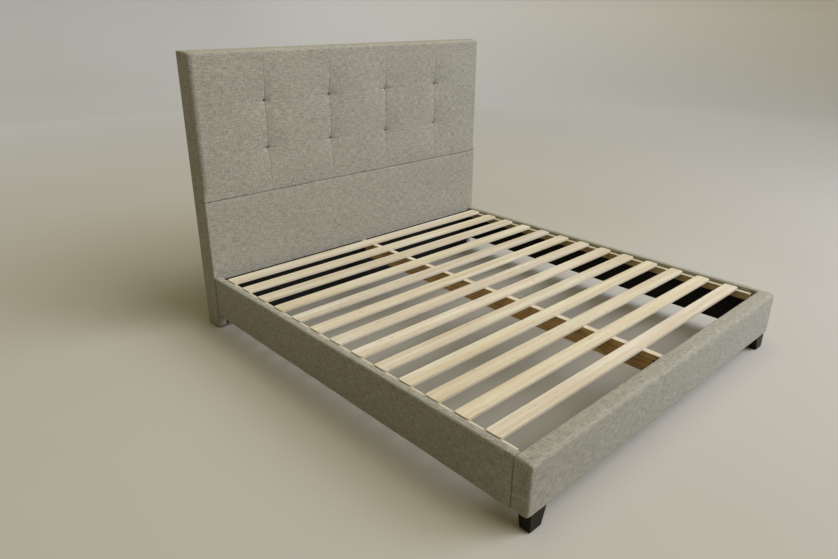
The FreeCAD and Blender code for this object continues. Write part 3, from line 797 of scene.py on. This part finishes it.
def footboard():
    """The footboard's cover, plump along its front and top edges."""
    low, high = foot_low, foot_high
    lining_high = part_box("foot_lining")[1]
    xs = stations(low.x, high.x, 0.018, [low.x, high.x], (0.004, 0.010))
    ys = stations(low.y, high.y, 0.012, [low.y, high.y], (0.003, 0.009, 0.016, 0.023))
    zs = stations(low.z, high.z, 0.012, [low.z, high.z], (0.003, 0.008, 0.015, 0.022))
    zs = thinned(np.union1d(zs, [lining_high.z]))
    radii = same_radius(0.011, 0.011, 0.022, 0.005, 0.006, 0.021)
    mesh, flat, sides = block_mesh("foot_padding", xs, ys, zs, radii)
    lay_weave(mesh, flat, sides, 0)
    points = coordinates(mesh)
    behind = np.abs(flat[:, 1] - high.y) < SAME_PLACE
    behind &= flat[:, 2] < lining_high.z + SAME_PLACE
    behind &= np.abs(flat[:, 0]) < lining_high.x
    points[behind, 1] -= LINING_ROOM
    front = np.abs(flat[:, 1] - low.y) < SAME_PLACE
    points[front, 1] -= 0.0009 * ripple(flat[front], 0.45, 53)
    on_top = np.abs(flat[:, 2] - high.z) < SAME_PLACE
    points[on_top, 2] += 0.0008 * ripple(flat[on_top], 0.3, 59)
    set_coordinates(mesh, points)
    made = add_object("foot_padding", mesh)
    inward = np.minimum(np.minimum(flat[:, 0] - low.x, high.x - flat[:, 0]),
                        np.minimum(flat[:, 2] - low.z, high.z - flat[:, 2]))
    hold = 1 - smoothstep(0.012, 0.040, inward)
    hold[~front] = 1.0
    settle(made, hold, PAD_PRESSURE, PAD_CAP)
    subdivide(made, 1)
    return made


# ---- put it together ----
def give(material, *nodes):
    """Puts one material on CAD nodes that are shown as they are."""
    for node in nodes:
        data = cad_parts[node].data
        data.materials.clear()
        data.materials.append(material)


cover = woven_fabric("woven_cover")
finish_cover(headboard_upper(), cover, "headboard_upper_cover", "headboard_upper_foam")
finish_cover(headboard_lower(), cover, "headboard_lower_cover", "headboard_lower_foam")
for rail_name, rail_side in (("left", -1), ("right", 1)):
    finish_cover(side_rail(rail_name, rail_side), cover,
                 f"{rail_name}_rail_cover", f"{rail_name}_rail_foam")
finish_cover(footboard(), cover, "foot_cover", "foot_foam")

PALE_LIGHT = colour(0.630, 0.597, 0.492)
PALE_DARK = colour(0.500, 0.430, 0.305)
DECK_LIGHT = colour(0.60, 0.56, 0.455)
DECK_DARK = colour(0.50, 0.44, 0.315)
FRAME_LIGHT = colour(0.50, 0.40, 0.26)
FRAME_DARK = colour(0.38, 0.28, 0.16)
# Painted shade for the upright faces of the ledges and the centre beam; the beam's also warms
# them, as warm bounce light would.
LEDGE_PAINTED_SHADE = colour(0.80, 0.69, 0.48)
BEAM_PAINTED_SHADE = colour(1.14, 0.85, 0.52)
slat_names = sorted(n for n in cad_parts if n.startswith("slat_"))
shades = np.random.default_rng(5)
for order, node_name in enumerate(slat_names):
    shift = shades.uniform(0.93, 1.05)
    warmth = shades.uniform(0.95, 1.03)
    light = colour(*(v * shift * w for v, w in zip(PALE_LIGHT, (1, 1, warmth))))
    dark = colour(*(v * shift * w for v, w in zip(PALE_DARK, (1, 1, warmth))))
    give(pine(f"pine_{order + 1:02d}", order + 1, light, dark), node_name)

ledge_pine = pine("ledge_pine", 21, DECK_LIGHT, DECK_DARK, "y", LEDGE_PAINTED_SHADE)
frame_pine = pine("frame_pine", 33, FRAME_LIGHT, FRAME_DARK)
upright_pine = pine("upright_pine", 37, FRAME_LIGHT, FRAME_DARK, "z")
beam_pine = pine("beam_pine", 25, DECK_LIGHT, DECK_DARK, "y", BEAM_PAINTED_SHADE)
give(ledge_pine, "left_slat_ledge", "right_slat_ledge")
give(beam_pine, "centre_beam")
give(frame_pine, "headboard_top_rail", "headboard_mid_rail", "headboard_bottom_rail",
     "foot_front_board", "foot_inner_board", "left_rail_board", "right_rail_board",
     "headboard_upper_panel", "headboard_lower_panel")
give(upright_pine, "headboard_left_stile", "headboard_right_stile", "headboard_studs",
     "headboard_packing_strips", "foot_spacer_blocks")
give(black_cloth("black_lining"), "left_rail_lining", "right_rail_lining", "foot_lining",
     "headboard_lining")
give(dust_cloth("back_cloth"), "headboard_back_cloth")
give(espresso_wood("espresso_wood"), "left_leg", "right_leg")
give(painted_steel("black_steel"), "head_corner_brackets", "foot_corner_brackets", "beam_shoes",
     "leg_plates")
give(zinc_steel("zinc_steel"), "bracket_bolts", "bracket_nuts", "ledge_screws", "beam_shoe_screws",
     "leg_hanger_bolts", "tuft_washers")
give(glide_plastic("glide_plastic"), "headboard_glides", "leg_glides")
give(twine("twine"), "tuft_ties")


# ---- studio ----
def make_floor():
    """Plain floor that sweeps up far away on all sides, as in a studio cove."""
    flat_radius, sweep, sweep_angle, rows, turns = 9.0, 3.5, 80, 14, 96
    rings = [(flat_radius * share, 0.0) for share in (0.25, 0.6, 1.0)]
    for row in range(1, rows + 1):
        turn = math.radians(sweep_angle) * row / rows
        rings.append((flat_radius + sweep * math.sin(turn), sweep * (1 - math.cos(turn))))
    points, faces = [(0, 0, 0)], []
    for radius, height in rings:
        for step in range(turns):
            angle = 2 * math.pi * step / turns
            points.append((radius * math.cos(angle), radius * math.sin(angle), height))
    for step in range(turns):
        after = (step + 1) % turns
        faces.append((0, 1 + step, 1 + after))
        for ring in range(len(rings) - 1):
            near, far = 1 + ring * turns, 1 + (ring + 1) * turns
            faces.append((near + step, far + step, far + after, near + after))
    mesh = bpy.data.meshes.new("floor")
    mesh.from_pydata(points, [], faces)
    floor = add_object("floor", mesh)
    mesh.materials.append(floor_surface("floor_surface"))


def aim(made, target):
    """Turns a light to shine at a point."""
    made.rotation_euler = (Vector(target) - made.location).to_track_quat("-Z", "Y").to_euler()


def softbox(name, place, target, size, power, tint):
    """A square area light."""
    lamp = bpy.data.lights.new(name, "AREA")
    lamp.shape = "SQUARE"
    lamp.size = size
    lamp.energy = power
    lamp.color = tint
    made = bpy.data.objects.new(name, lamp)
    made.location = place
    bpy.context.scene.collection.objects.link(made)
    aim(made, target)


def make_world():
    """Dim warm surroundings, with a paler wall past the floor's rim that lights nothing."""
    world = bpy.data.worlds.new("studio")
    world.use_nodes = True
    tree = world.node_tree
    glow = tree.nodes["Background"]
    glow.inputs["Color"].default_value = colour(0.245, 0.200, 0.080)
    wall = tree.nodes.new("ShaderNodeBackground")
    wall.inputs["Color"].default_value = colour(0.400, 0.380, 0.320)
    ray = tree.nodes.new("ShaderNodeLightPath")
    either = tree.nodes.new("ShaderNodeMixShader")
    tree.links.new(ray.outputs["Is Camera Ray"], either.inputs[0])
    tree.links.new(glow.outputs[0], either.inputs[1])
    tree.links.new(wall.outputs[0], either.inputs[2])
    tree.links.new(either.outputs[0], tree.nodes["World Output"].inputs["Surface"])
    bpy.context.scene.world = world


def make_lights():
    """A broad soft key from the front and right, a cool softbox beside it and a warm one above."""
    sun = bpy.data.lights.new("key", "SUN")
    sun.energy = 2.2
    sun.angle = math.radians(50)
    key = bpy.data.objects.new("key", sun)
    key.location = (3.0, -4.2, 5.2)
    bpy.context.scene.collection.objects.link(key)
    aim(key, (0, 0, 0.3))
    softbox("front_softbox", place=(3.5, -4.1, 3.6), target=(0.3, -0.6, 0.3), size=3.0,
            power=229, tint=(0.688, 0.739, 1.0))
    softbox("top_softbox", place=(0.0, -0.6, 8.0), target=(0.0, -0.6, 0.0), size=6.0,
            power=215, tint=(1.0, 0.959, 0.776))


CAMERA_AZIMUTH, CAMERA_ELEVATION, CAMERA_ROLL = -43.561, 22.715, 0.524  # degrees
CAMERA_PLACE = (-2.4529, -2.1001, 1.6551)
CAMERA_LENS, SENSOR_WIDTH = 28.34, 36  # millimetres


def make_camera():
    """Camera beyond the foot's left corner, looking down on the deck."""
    azimuth, elevation, roll = (
        math.radians(a) for a in (CAMERA_AZIMUTH, CAMERA_ELEVATION, CAMERA_ROLL))
    back = Vector((math.sin(azimuth) * math.cos(elevation),
                   -math.cos(azimuth) * math.cos(elevation), math.sin(elevation)))
    right = Vector((0, 0, 1)).cross(back).normalized()
    up = back.cross(right)
    turned_right = math.cos(roll) * right + math.sin(roll) * up
    turned_up = math.cos(roll) * up - math.sin(roll) * right
    data = bpy.data.cameras.new("camera")
    data.sensor_width = SENSOR_WIDTH
    data.lens = CAMERA_LENS
    camera = bpy.data.objects.new("camera", data)
    camera.matrix_world = Matrix.Translation(CAMERA_PLACE) @ Matrix(
        (turned_right, turned_up, back)).transposed().to_4x4()
    bpy.context.scene.collection.objects.link(camera)
    bpy.context.scene.camera = camera


make_floor()
make_world()
make_lights()
make_camera()
bpy.context.scene.view_settings.view_transform = "Standard"
